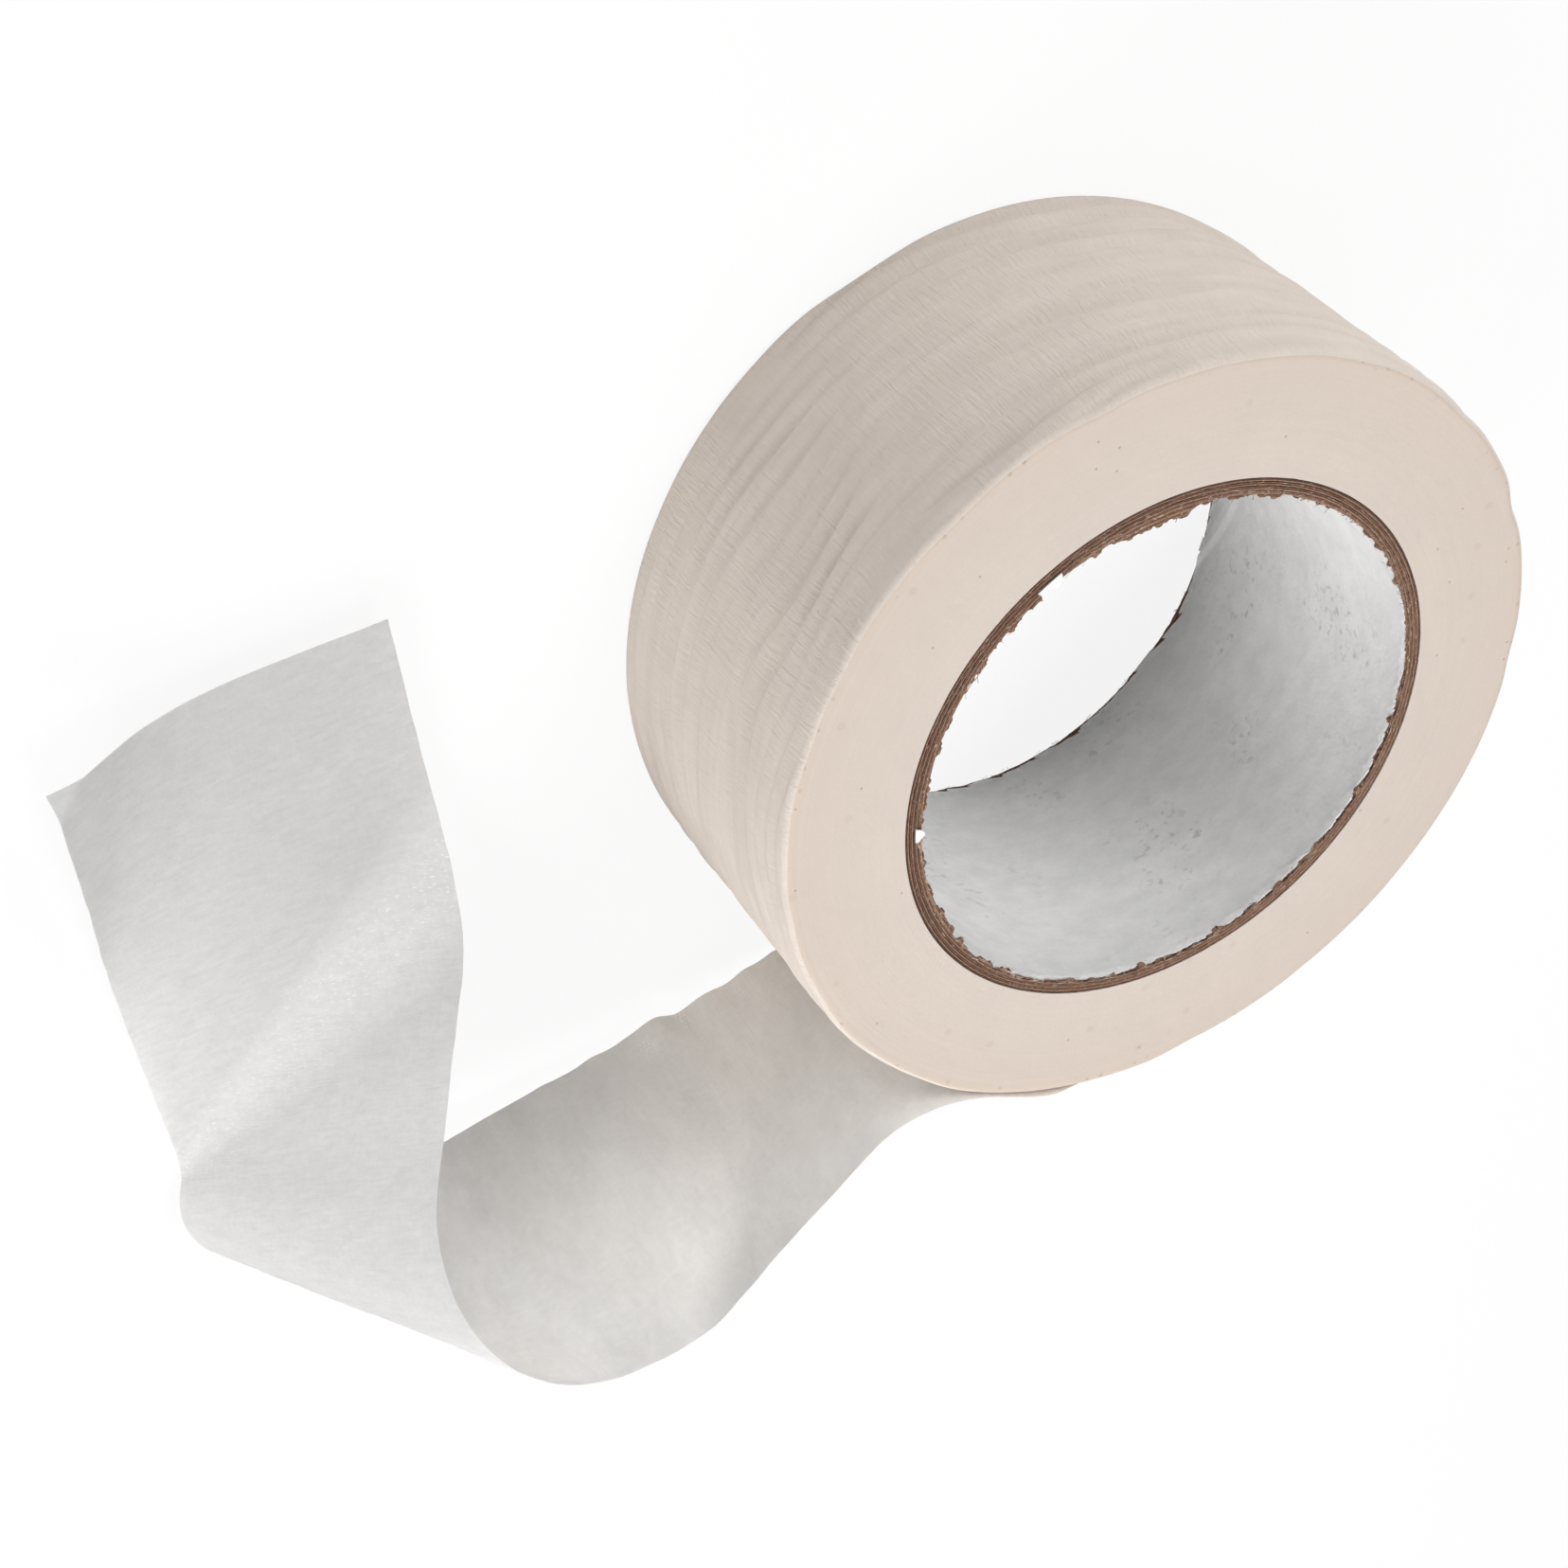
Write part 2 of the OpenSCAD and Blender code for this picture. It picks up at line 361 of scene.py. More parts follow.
def side_face_material():
    """Slit edges of the wound turns: cream, faintly ringed, with a few specks."""
    look = Shader("slit_tape_edges")
    place = look.place()
    radius = look.radius()
    ring_place = look.add("CombineXYZ", {"X": radius}).outputs["Vector"]
    rings = look.noise(ring_place, 0.55, detail=4.0, roughness=0.65)
    broad_rings = look.noise(ring_place, 3.2, detail=2.0)
    clouds = look.noise(place, 9, detail=4.0)
    grain = look.noise(place, 0.45, detail=3.0, roughness=0.7)
    outward = look.remap(radius, BOARD_RADIUS, ROLL_RADIUS)
    warmth = look.math("MULTIPLY_ADD", clouds, 0.5, look.product(outward, 0.6))
    colour = look.mix(warmth, CREAM, PEACH)
    shade = look.sum(look.spread(rings, -0.014, 0.014), look.spread(broad_rings, -0.012, 0.012))
    shade = look.sum(shade, look.spread(clouds, 0.985, 1.015))
    shade = look.sum(shade, look.spread(grain, -0.012, 0.012))
    colour = look.tint(colour, shade)
    specks = look.specks(place, 3.1, 0.24, 0.055, flat=True)
    smudges = look.specks(place, 8, 0.8, 0.25, flat=True)
    near_rim = look.remap(radius, ROLL_RADIUS - 2.2 * MM, ROLL_RADIUS - 0.8 * MM)
    rim_specks = look.product(look.specks(place, 2.1, 0.4, 0.3, flat=True), near_rim)
    colour = look.mix(look.product(near_rim, 0.55), colour, RIM_PEACH)
    for marks, strength in ((specks, 0.7), (rim_specks, 0.6), (smudges, 0.12)):
        colour = look.mix(look.product(marks, strength), colour, SPECK_BROWN)
    normal = look.bump(rings, 0.05)
    normal = look.bump(clouds, 0.35, normal)
    normal = look.bump(grain, 0.06, normal)
    return look.finish(look.surface(colour=colour, roughness=look.spread(grain, 0.72, 0.86),
                                    specular=0.3, normal=normal))


def crepe_height(look, place):
    """Fine wrinkles that run across the tape."""
    wrinkles = look.noise(place, 0.55, 5, roughness=0.6, distortion=0.6)
    fibres = look.noise(place, 0.25, 0.35, detail=2.0, roughness=0.6)
    return look.math("MULTIPLY_ADD", fibres, 0.35, wrinkles)


def painted_crepe_shade(look, crepe):
    """Painted shade and light on the wrinkles: a little darker in their troughs and lighter on their
    crests.
    """
    return look.remap(crepe, 0.35, 1.0, -0.02, 0.02)


def wrap_material():
    """Outer face of the wound tape: matt crepe paper over darker turns below."""
    look = Shader("wound_crepe")
    place = look.tape_place()
    crepe = crepe_height(look, place)
    bands = look.noise(place, 90, 3.4)
    clouds = look.noise(place, 8, 5, detail=4.0)
    colour = look.mix(look.spread(bands, 0.2, 0.8), WRAP_BEIGE, WRAP_PALE)
    # Cloudy tone, with painted shade and light on the wrinkles
    colour = look.tint(colour, look.sum(look.spread(clouds, 0.97, 1.03), painted_crepe_shade(look, crepe)))
    specks = look.specks(look.place(), 6, 0.18, 0.1)
    colour = look.mix(look.product(specks, 0.4), colour, SPECK_BROWN)
    lines = look.noise(place, 38, 0.8, distortion=0.4)
    normal = look.bump(lines, 0.1)
    normal = look.bump(crepe, 0.2, normal)
    return look.finish(look.surface(colour=colour, roughness=look.spread(clouds, 0.68, 0.8),
                                    specular=0.3, normal=normal))


TAIL_GREY = (0.76, 0.757, 0.754)
TAIL_PALE = (0.84, 0.837, 0.834)
TAIL_BEIGE = (0.75, 0.685, 0.625)
PAINTED_GLINT_WHITE = (0.95, 0.95, 0.95)
THROUGH_WHITE = (1.0, 0.995, 0.985)
# Painted light and shade along the tail: the paper's colour is made paler or darker in stretches, standing
# in for light that the scene does not give. Start and end in mm, and the change in shade
PAINTED_SHADES_ALONG_TAIL = ((36, 48, 0.98), (52, 62, 0.95), (68, 78, 1.18),
                 (84, 96, 0.81), (106, 126, 1.1), (130, 202, 0.77))
# How dark the painted shade on the low edge of the run gets
PAINTED_SHADE_ON_RUN = 0.84


def painted_shade_on_run(look, along, across):
    """Painted shade on the low edge of the run, where it lies on the table and little light comes through
    the paper.
    """
    starts = look.remap(along, 20 * MM, 40 * MM)
    ends = look.remap(along, 52 * MM, 68 * MM, 1.0, 0.0)
    on_run = look.product(starts, ends)
    in_shade = look.product(on_run, look.remap(across, 2 * MM, -16 * MM))
    return look.remap(in_shade, 0.0, 1.0, 1.0, PAINTED_SHADE_ON_RUN)


def painted_ridge_glints(look, dashes, along, across):
    """Painted highlight: short dashes along the ridge where the colour is whitened, as crushed crepe glints
    there.
    """
    ridge = look.remap(across, -HALF_WIDTH, HALF_WIDTH, RIDGE_FOOT, RIDGE_TIP)
    off_ridge = look.math("ABSOLUTE", look.math("SUBTRACT", along, ridge))
    near_ridge = look.remap(off_ridge, 3 * MM, 11 * MM, 1.0, 0.0)
    return look.product(look.remap(dashes, 0.6, 0.68, 0.0, 0.75), near_ridge)


def backing_material():
    """One layer of crepe paper: pale, cloudy and slightly see-through, creamier near the roll."""
    look = Shader("tape_paper")
    place = look.tape_place()
    along = look.part(place, "X")
    across = look.part(place, "Y")
    crepe = crepe_height(look, place)
    clouds = look.noise(place, 5, 9, detail=5.0, roughness=0.6)
    fine_clouds = look.noise(place, 1.1, 3.2, detail=4.0, roughness=0.7)
    flecks = look.noise(place, 1.3, 0.7, detail=4.0, roughness=0.75)
    dashes = look.noise(place, 0.22, 0.9, detail=2.0)
    colour = look.mix(look.remap(clouds, 0.35, 0.65, 0.15, 0.85), TAIL_GREY, TAIL_PALE)
    near_roll = look.remap(along, 0.0, 75 * MM, 1.0, 0.0)
    low_edge = look.remap(across, HALF_WIDTH, -HALF_WIDTH, 0.1, 1.0)
    colour = look.mix(look.product(near_roll, low_edge), colour, TAIL_BEIGE)
    on_roll = look.remap(along, -1 * MM, 9 * MM, 0.9, 0.0)
    colour = look.mix(on_roll, colour, WRAP_PALE)
    # Painted light and shade: stretches along the tail are made paler or darker
    for start, end, change in PAINTED_SHADES_ALONG_TAIL:
        colour = look.tint(colour, look.remap(along, start * MM, end * MM, 1.0, change))
    # Painted shade along the low edge of the run
    colour = look.tint(colour, painted_shade_on_run(look, along, across))
    # Fine cloudy tone, with painted shade and light on the wrinkles
    colour = look.tint(colour, look.sum(look.spread(fine_clouds, 0.955, 1.045), painted_crepe_shade(look, crepe)))
    colour = look.tint(colour, look.spread(flecks, 0.965, 1.035))
    # Painted highlight: glints along the ridge whitened into the colour; the glossier dashes set two lines
    # below are real
    colour = look.mix(painted_ridge_glints(look, dashes, along, across), colour, PAINTED_GLINT_WHITE)
    normal = look.bump(crepe, 0.08)
    roughness = look.remap(dashes, 0.6, 0.7, 0.62, 0.26)
    paper = look.surface(colour=colour, roughness=roughness, specular=0.45, normal=normal)
    through_colour = look.mix(0.25, colour, THROUGH_WHITE)
    through = look.add("BsdfTranslucent", {"Color": through_colour, "Normal": normal}).outputs["BSDF"]
    return look.finish(look.blend(look.spread(clouds, 0.38, 0.5), paper, through))


COAT_DULL = (0.85, 0.84, 0.82)
COAT_PALE = (0.90, 0.89, 0.875)
CLEAR_CLOUDY = (0.965, 0.96, 0.955)
CLEAR = (1.0, 0.998, 0.993)
CLEAR_SHARE = 0.86


def adhesive_material():
    """Thin clear rubber coat: mostly see-through, with a soft gloss, faint streaks and cloudy flecks."""
    look = Shader("tacky_coat")
    place = look.tape_place()
    streaks = look.noise(place, 30, 0.7)
    clouds = look.noise(place, 3)
    creases = look.noise(place, 0.35, 1.6, roughness=0.65, distortion=0.5)
    normal = look.bump(look.sum(streaks, clouds), 0.03)
    normal = look.bump(creases, 0.12, normal)
    coat = look.surface(colour=look.mix(streaks, COAT_DULL, COAT_PALE),
                        roughness=look.spread(clouds, 0.3, 0.5), specular=0.5, normal=normal)
    flecks = look.noise(place, 1.5, 0.8, detail=4.0, roughness=0.75)
    blotches = look.noise(place, 4, 8, detail=4.0, roughness=0.6)
    cloudy = look.sum(look.remap(flecks, 0.35, 0.65, 0.0, 0.6), look.remap(blotches, 0.35, 0.65, 0.0, 0.4))
    clear = look.add("BsdfTransparent", {"Color": look.mix(cloudy, CLEAR_CLOUDY, CLEAR)}).outputs["BSDF"]
    return look.finish(look.blend(CLEAR_SHARE, coat, clear))


BOARD_DARK = (0.13, 0.066, 0.04)
BOARD_BROWN = (0.26, 0.142, 0.09)
BOARD_LIGHT = (0.42, 0.265, 0.185)
BOARD_LINE = (0.07, 0.036, 0.03)
FIBRE_PALE = (0.66, 0.54, 0.45)


def ply_share(look, radius, thickness):
    """0 at the outer side of each layer of the board, 1 at its inner side."""
    depth = look.math("SUBTRACT", BOARD_RADIUS, radius)
    return look.math("FRACT", look.math("DIVIDE", depth, thickness))


def board_material():
    """Cut and torn grey-brown board: streaks and dark lines along the plies, and pale fibres."""
    look = Shader("brown_board")
    place = look.tape_place()
    streaks = look.noise(place, 2.6, 0.16, detail=4.0, roughness=0.65, distortion=0.3)
    clumps = look.noise(look.place(), 1.1, detail=4.0, roughness=0.7)
    fuzz = look.noise(look.place(), 0.22, detail=2.0)
    colour = look.mix(look.remap(streaks, 0.36, 0.62), BOARD_DARK, BOARD_BROWN)
    colour = look.mix(look.remap(clumps, 0.5, 0.72, 0.0, 0.6), colour, BOARD_LIGHT)
    radius = look.sum(look.radius(), look.spread(clumps, -0.05 * MM, 0.05 * MM))
    line = look.remap(ply_share(look, radius, PLY_PITCH), 0.0, 0.4, 0.8, 0.0)
    broken = look.remap(look.noise(look.place(), 3, detail=2.0), 0.35, 0.6, 0.2, 0.9)
    colour = look.mix(look.product(line, broken), colour, BOARD_LINE)
    # Every second glue line shows more, with a pale band half way to the next
    pair = ply_share(look, radius, 2 * PLY_PITCH)
    colour = look.mix(look.remap(pair, 0.05, 0.4, 0.95, 0.0), colour, BOARD_LINE)
    colour = look.mix(look.remap(pair, 0.5, 0.75, 0.0, 0.4), colour, BOARD_LIGHT)
    pale = look.noise(place, 0.8, 0.14, detail=2.0, distortion=0.8)
    colour = look.mix(look.remap(pale, 0.6, 0.68, 0.0, 0.6), colour, FIBRE_PALE)
    outer_line = look.remap(radius, BOARD_RADIUS - 0.3 * MM, BOARD_RADIUS - 0.16 * MM, 0.0, 0.9)
    colour = look.mix(outer_line, colour, BOARD_LINE)
    normal = look.bump(look.sum(streaks, fuzz), 0.12)
    return look.finish(look.surface(colour=colour, roughness=0.85, specular=0.2, normal=normal))


def fibre_material():
    """Loose fibres of the board, brown to pale."""
    look = Shader("board_fibre")
    tone = look.noise(look.place(), 2, detail=2.0)
    colour = look.mix(look.remap(tone, 0.4, 0.6), BOARD_BROWN, FIBRE_PALE)
    return look.finish(look.surface(colour=colour, roughness=0.8, specular=0.2))


LINER_WHITE = (0.80, 0.795, 0.79)
LINER_GREY = (0.72, 0.716, 0.714)
LINER_SMUDGE = (0.36, 0.355, 0.35)
TORN_WHITE = (0.88, 0.875, 0.865)


def liner_material():
    """White lining paper of the core with faint mottling, grey smudges and torn white ends."""
    look = Shader("core_lining_paper")
    place = look.place()
    clouds = look.noise(place, 5, 5, 3, detail=5.0, roughness=0.6)
    grain = look.noise(place, 0.5, roughness=0.6)
    colour = look.mix(look.remap(clouds, 0.35, 0.65), LINER_GREY, LINER_WHITE)
    patches = look.remap(look.noise(place, 14, detail=2.0), 0.52, 0.66)
    smudges = look.remap(look.noise(place, 1.4, 1.4, 1.0), 0.56, 0.7, 0.0, 0.5)
    colour = look.mix(look.product(patches, smudges), colour, LINER_SMUDGE)
    height = look.math("ABSOLUTE", look.part(place, "Z"))
    frayed = look.sum(height, look.spread(look.noise(place, 1.2), -0.5 * MM, 0.5 * MM))
    torn = look.remap(frayed, HALF_WIDTH - 1.4 * MM, HALF_WIDTH - 0.9 * MM, 0.0, 0.9)
    colour = look.mix(torn, colour, TORN_WHITE)
    colour = look.tint(colour, look.spread(grain, 0.975, 1.025))
    dimples = look.noise(place, 3.5)
    normal = look.bump(dimples, 0.2)
    normal = look.bump(grain, 0.04, normal)
    return look.finish(look.surface(colour=colour, roughness=0.7, specular=0.3, normal=normal))


SIDE_FACE = side_face_material()
WRAP = wrap_material()
BACKING = backing_material()
ADHESIVE = adhesive_material()
BOARD = board_material()
LINER = liner_material()
BOARD_FIBRE = fibre_material()


# ---- Wound tape ----

RIM_ROUNDING = 1.1 * MM
# The ridges of the outer turns stay just inside the last turn of tape
RIDGE_TOP = 0.05 * MM
RIDGE_PITCH = 3.9 * MM
RIDGE_HEIGHT = 0.3 * MM
# Higher ridges than this are pressed flat, and no groove is deeper than the other
RIDGE_CREST = 0.52 * MM
DEEPEST_GROOVE = 1.2 * MM
# How far inside the last turn of tape the others lie on average
MEAN_SINK = 0.08 * MM
# What is left of the ridges and of the unroundness under the loose lead-in
RIDGES_AT_LEAD = 0.12
UNROUND_AT_LEAD = 0.1


def clear_of_lead(angle, least):
    """1 away from the loose lead-in, and a smaller share under it, where the turns lie flat."""
    from_lead = angle_from(angle, PEEL_ANGLE + LOOSE_ARC / 2)
    return least + (1 - least) * smooth_step(from_lead, LOOSE_ARC, 1.6 * LOOSE_ARC)


def wrap_ridges(angle, height):
    """Height of the outer turns, 0 or below: wavy ridges that run round the roll."""
    points = ring_points(angle, height, ROLL_RADIUS)
    drift = noise_at(points, (26 * MM, 26 * MM, 16 * MM), seed=2)
    phase = FULL_TURN * (height / RIDGE_PITCH + 1.1 * drift)
    waves = np.sin(phase) + 0.3 * np.sin(2 * phase + 1)
    strength = np.clip(0.55 + 1.3 * noise_at(points, (32 * MM, 32 * MM, 9 * MM), seed=7), 0.1, 1.2)
    loose_turns = uneven(points, (0.2 * MM, (50 * MM, 50 * MM, 2.4 * MM), 3),
                         (0.08 * MM, (20 * MM, 20 * MM, 1.1 * MM), 5))
    rise = RIDGE_HEIGHT * waves * strength + loose_turns - RIDGE_CREST
    return np.clip(rise, -DEEPEST_GROOVE, 0) * clear_of_lead(angle, RIDGES_AT_LEAD)


def roundness_error(angle):
    """The roll is a little out of round, with soft flats along its rim."""
    points = ring_points(angle, 0.0, ROLL_RADIUS)
    flats = uneven(points, (0.06 * MM, 24 * MM, 11), (0.03 * MM, 7 * MM, 12))
    return (flats - MEAN_SINK) * clear_of_lead(angle, UNROUND_AT_LEAD)


def face_height(angle, radius, seed):
    """Unevenness of a slit side face: rings of turns that stand proud, a slow wave and a few dents."""
    points = ring_points(angle, 0.0, radius)
    rings = noise_at(line_points(radius), 0.8 * MM, seed)
    drift = noise_at(points, 20 * MM, seed + 1)
    lumps = noise_at(points, 3.5 * MM, seed + 2)
    dents = np.clip(noise_at(points, 1.6 * MM, seed + 3) - 0.52, 0, 1)
    return (0.03 * rings * (1 + drift) + 0.08 * drift + 0.02 * lumps - 0.35 * dents) * MM


def wound_tape():
    """All the turns as one ring. Its outline goes over the near face, the wrap and the far face."""
    turns, face_rows, rim_rows, wrap_rows = 600, 44, 6, 110
    angle = np.linspace(0, FULL_TURN, turns, endpoint=False)[None, :] + PEEL_ANGLE + math.pi / 2
    outer = ROLL_RADIUS + RIDGE_TOP
    flat_end = outer - RIM_ROUNDING
    wrap_end = HALF_WIDTH - RIM_ROUNDING
    face_radius = np.linspace(BOARD_RADIUS, flat_end, face_rows)[:, None] + 0 * angle
    quarter = np.linspace(0, math.pi / 2, rim_rows + 2)[1:-1][:, None] + 0 * angle
    wrap_height = np.linspace(wrap_end, -wrap_end, wrap_rows)[:, None] + 0 * angle
    wobble = roundness_error(angle) + wrap_ridges(angle, wrap_height)
    near_wobble, far_wobble = wobble[:1], wobble[-1:]
    out_share = (face_radius - BOARD_RADIUS) / (flat_end - BOARD_RADIUS)
    calm_rim = smooth_step(1 - out_share, 0, 0.08)
    near_face = HALF_WIDTH + face_height(angle, face_radius, 21) * calm_rim
    far_face = -HALF_WIDTH + np.abs(face_height(angle, face_radius, 31)) * calm_rim
    rim_radius = flat_end + RIM_ROUNDING * np.sin(quarter)
    rim_height = HALF_WIDTH - RIM_ROUNDING * (1 - np.cos(quarter))
    radius = np.concatenate([face_radius + near_wobble * out_share, rim_radius + near_wobble,
                             outer + wobble,
                             rim_radius[::-1] + far_wobble, (face_radius + far_wobble * out_share)[::-1]])
    height = np.concatenate([near_face, rim_height, wrap_height, -rim_height[::-1], far_face[::-1]])
    rows = len(radius)
    row_of_face = np.repeat(np.arange(rows), turns)
    on_wrap = (row_of_face > face_rows) & (row_of_face < rows - face_rows - 2)
    across = np.append(height[:, 0], height[0, 0])
    roll = closed_ring("wound_tape_roll", ring_points(angle, height, radius), ROLL_RADIUS, across,
                       [SIDE_FACE, WRAP], on_wrap.astype(int))
    place_on_root(roll, "wound_tape", "wound_tape")


# ---- Core ----

# The two ends of the bore, as the sign of z: the near one is in full view, the far one on the table
NEAR_END = 1
FAR_END = -1
EDGE_SEEDS = {NEAR_END: 41, FAR_END: 51}
# The cut board leaves a burr that leans into the bore, most of it on one side, and one torn flap
BURR_MIDDLE = math.radians(292)
BURR_REACH = 0.72 * MM
FLAP_MIDDLE = math.radians(279)
FLAP_HALF_ANGLE = math.radians(11)
FLAP_REACH = 1.0 * MM
# Over the cut end of each ply, from outside inwards: share of its thickness and height
PLY_OUTLINE = ((0.12, -0.2 * MM), (0.25, 0), (0.75, 0), (0.9, -0.03 * MM))
# The plies end this far below the edge of the tape
BOARD_SINK = 0.08 * MM
# Share of the lip's depth that the torn plies have already gone down where the lip begins
LIP_SLOPES = {NEAR_END: 0.15, FAR_END: 0.85}
LIP_THICKNESS = 0.05 * MM
# Gap and overlap that keep the liner and the board apart but leave no slit
LINER_GAP = 0.02 * MM
BOARD_TUCK = 0.2 * MM


def ragged(angle, end, fine_size, seed):
    """Random outline round one end of the core: its broad, middle and fine parts."""
    points = ring_points(angle, end * HALF_WIDTH)
    broad = noise_at(points, 6.5 * MM, seed)
    middle = noise_at(points, 2.2 * MM, seed + 1)
    fine = noise_at(points, fine_size, seed + 2)
    return broad, middle, fine


def far_edge_rise(angle):
    """Height above the table of the torn inner edge at the far end of the bore."""
    broad, middle, fine = ragged(angle, FAR_END, 0.8 * MM, EDGE_SEEDS[FAR_END])
    return np.clip(0.5 + 0.85 * broad + 0.4 * middle + 0.1 * fine, 0.05, 1.6) * MM


def burr_reach(angle, end):
    """How far the burr stands into the bore beyond the face of the liner."""
    broad, middle, fine = ragged(angle, end, 0.8 * MM, EDGE_SEEDS[end])
    if end == FAR_END:
        return (0.02 + 0.1 * broad + 0.1 * middle) * MM
    facing = 0.5 + 0.5 * np.cos(angle - BURR_MIDDLE)
    flap = smooth_step(angle_from(angle, FLAP_MIDDLE), FLAP_HALF_ANGLE, 0.55 * FLAP_HALF_ANGLE)
    chips = 0.5 * smooth_step(middle, 0.08, 0.25) + 0.25 * smooth_step(fine, 0.2, 0.35)
    reach = BURR_REACH * smooth_step(facing, 0.1, 0.55) + (0.25 * broad + chips - 0.33) * MM
    return np.clip(reach + FLAP_REACH * flap, -0.2 * MM, 2 * MM)


def board_end(angle, end):
    """Radius and height of the points over one cut end of the board, from its outside inwards."""
    broad, middle, fine = ragged(angle, end, 0.7 * MM, EDGE_SEEDS[end])
    tear = np.clip(middle + 0.6 * broad - 0.2, 0, 1)
    torn_down = np.clip(0.3 * tear + 0.1 * np.abs(fine), 0, 1) * MM
    edges = [*PLY_RADII[::-1], LINER_BACK]
    radii, heights = [], []
    for ply, (outer, inner) in enumerate(zip(edges, edges[1:])):
        for share, drop in PLY_OUTLINE:
            radius = outer + share * (inner - outer)
            rough = uneven(ring_points(angle, 0.0, radius),
                           (0.07 * MM, 0.7 * MM, 60 + ply), (0.07 * MM, 2.5 * MM, 70 + ply))
            inward = smooth_step(BOARD_RADIUS - radius, 0.8 * MM, 2 * MM)
            radii.append(radius + 0 * angle)
            heights.append(drop + rough - BOARD_SINK - inward * torn_down)
    lip_radius = BORE_RADIUS - burr_reach(angle, end)
    lip_depth = (0.25 + 1.5 * tear + 0.3 * np.abs(fine)) * MM
    if end == FAR_END:
        lip_depth = far_edge_rise(angle)
    lip_start = -LIP_SLOPES[end] * lip_depth
    radii += [(LINER_BACK + lip_radius) / 2, lip_radius + LIP_THICKNESS, lip_radius,
              LINER_BACK + LINER_GAP + 0 * angle]
    heights += [(heights[-1] + lip_start) / 2, lip_start, -lip_depth, -lip_depth - BOARD_TUCK]
    return np.array(radii), end * (HALF_WIDTH + np.array(heights))


def core_board():
    """The brown board as one closed ring: over the near end, down the wall and over the far end."""
    angle = np.linspace(0, FULL_TURN, 900, endpoint=False)
    near_radius, near_height = board_end(angle, NEAR_END)
    far_radius, far_height = board_end(angle, FAR_END)
    radius = np.concatenate([near_radius, far_radius[::-1]])
    height = np.concatenate([near_height, far_height[::-1]])
    steps = np.hypot(np.diff(radius[:, 0], append=radius[0, 0]), np.diff(height[:, 0], append=height[0, 0]))
    across = np.append(0, np.cumsum(steps))
    board = closed_ring("core_board", ring_points(angle, height, radius), BORE_RADIUS, across, [BOARD])
    place_on_root(board, "core_board", *PLY_NODES)


# The liner is one strip wound once round; its seam climbs as it goes round
SEAM_ANGLE = math.radians(189)
SEAM_HEIGHT = -17 * MM
# Climb for each radian
SEAM_CLIMB = 17.9 * MM
SEAM_OVERLAP = 2.5 * MM
SEAM_LIFT = 0.4 * MM
LINER_DIMPLES = 0.06 * MM
LINER_CURL = 0.16 * MM


def core_liner():
    """The white lining, torn along both ends, with its end lifted over its start at the seam."""
    overlap = SEAM_OVERLAP / BORE_RADIUS
    lap = FULL_TURN + overlap
    along = np.linspace(0, lap, 900)[None, :]
    down = np.linspace(0, 1, 50)[:, None]
    flat_angle = SEAM_ANGLE - SEAM_HEIGHT / SEAM_CLIMB + along
    near_angle = flat_angle + HALF_WIDTH / SEAM_CLIMB
    far_angle = flat_angle - HALF_WIDTH / SEAM_CLIMB
    broad, middle, fine = ragged(near_angle, NEAR_END, 0.5 * MM, 81)
    slivers = noise_at(ring_points(far_angle), 2.2 * MM, 91)
    near_recess = (0.5 + np.clip(0.3 * broad + 0.35 * middle + 0.2 * fine, -0.2, 1)) * MM
    far_recess = far_edge_rise(far_angle) + (0.05 + 2.2 * np.clip(slivers - 0.18, 0, 1)) * MM
    height = (HALF_WIDTH - near_recess) * (1 - down) - (HALF_WIDTH - far_recess) * down
    angle = flat_angle + height / SEAM_CLIMB
    lift = SEAM_LIFT * smooth_step(along, lap - 2.2 * overlap, lap - overlap)
    dimples = LINER_DIMPLES * noise_at(ring_points(angle, height), 5 * MM, 99)
    curl = LINER_CURL * smooth_step(down, 0.03, 0.0) * (0.6 + middle)
    face = ring_points(angle, height, BORE_RADIUS + dimples - lift - curl)
    back = ring_points(angle, height, LINER_BACK + dimples - lift - LINER_GAP)
    place_on_root(shell("core_lining", face, back, [LINER]), "liner_paper", "core_liner")


# ---- Scraps and fibres on the cut ends of the core ----

# Angle round the bore and half the length of each scrap
SCRAPS = ((math.radians(303), 1.9 * MM), (math.radians(1), 1.1 * MM))
SCRAP_OUTER = BORE_RADIUS + 0.6 * MM
SCRAP_WIDTH = 1.3 * MM
SCRAP_THICKNESS = 0.1 * MM


def liner_scrap(number, middle, half_length):
    """A torn scrap of the white lining that lies over the cut board."""
    along = np.linspace(-1, 1, 40)[None, :]
    inward = np.linspace(0, 1, 10)[:, None]
    angle = middle + along * half_length / BORE_RADIUS
    torn = noise_at(ring_points(angle), 0.9 * MM, 111)
    width = SCRAP_WIDTH * np.sqrt(np.clip(1 - along ** 2, 0, 1)) * (0.85 + 0.35 * torn)
    curled_up = inward * (0.6 + noise_at(ring_points(angle), 1.5 * MM, 113))
    height = HALF_WIDTH + (0.12 + 0.25 * curled_up) * MM
    radius = SCRAP_OUTER - width * inward
    upper = ring_points(angle, height, radius)
    lower = ring_points(angle, height - SCRAP_THICKNESS, radius)
    place_on_root(shell(f"liner_scrap_{number}", upper, lower, [LINER]), "liner_paper")


# Fibres at each end of the bore. At the near end every third one belongs to a tuft.
FIBRE_COUNTS = {NEAR_END: 420, FAR_END: 120}
TUFT_ANGLES = np.radians((0, 56, 205, 228))
TUFT_SPREAD = math.radians(5)
# Smallest and largest
FIBRE_LENGTHS = (0.3 * MM, 1.4 * MM)
FIBRE_HALF_WIDTHS = (0.014 * MM, 0.035 * MM)
# How far outside the torn edge of the board a fibre starts
FIBRE_STARTS = (-0.05 * MM, 0.6 * MM)


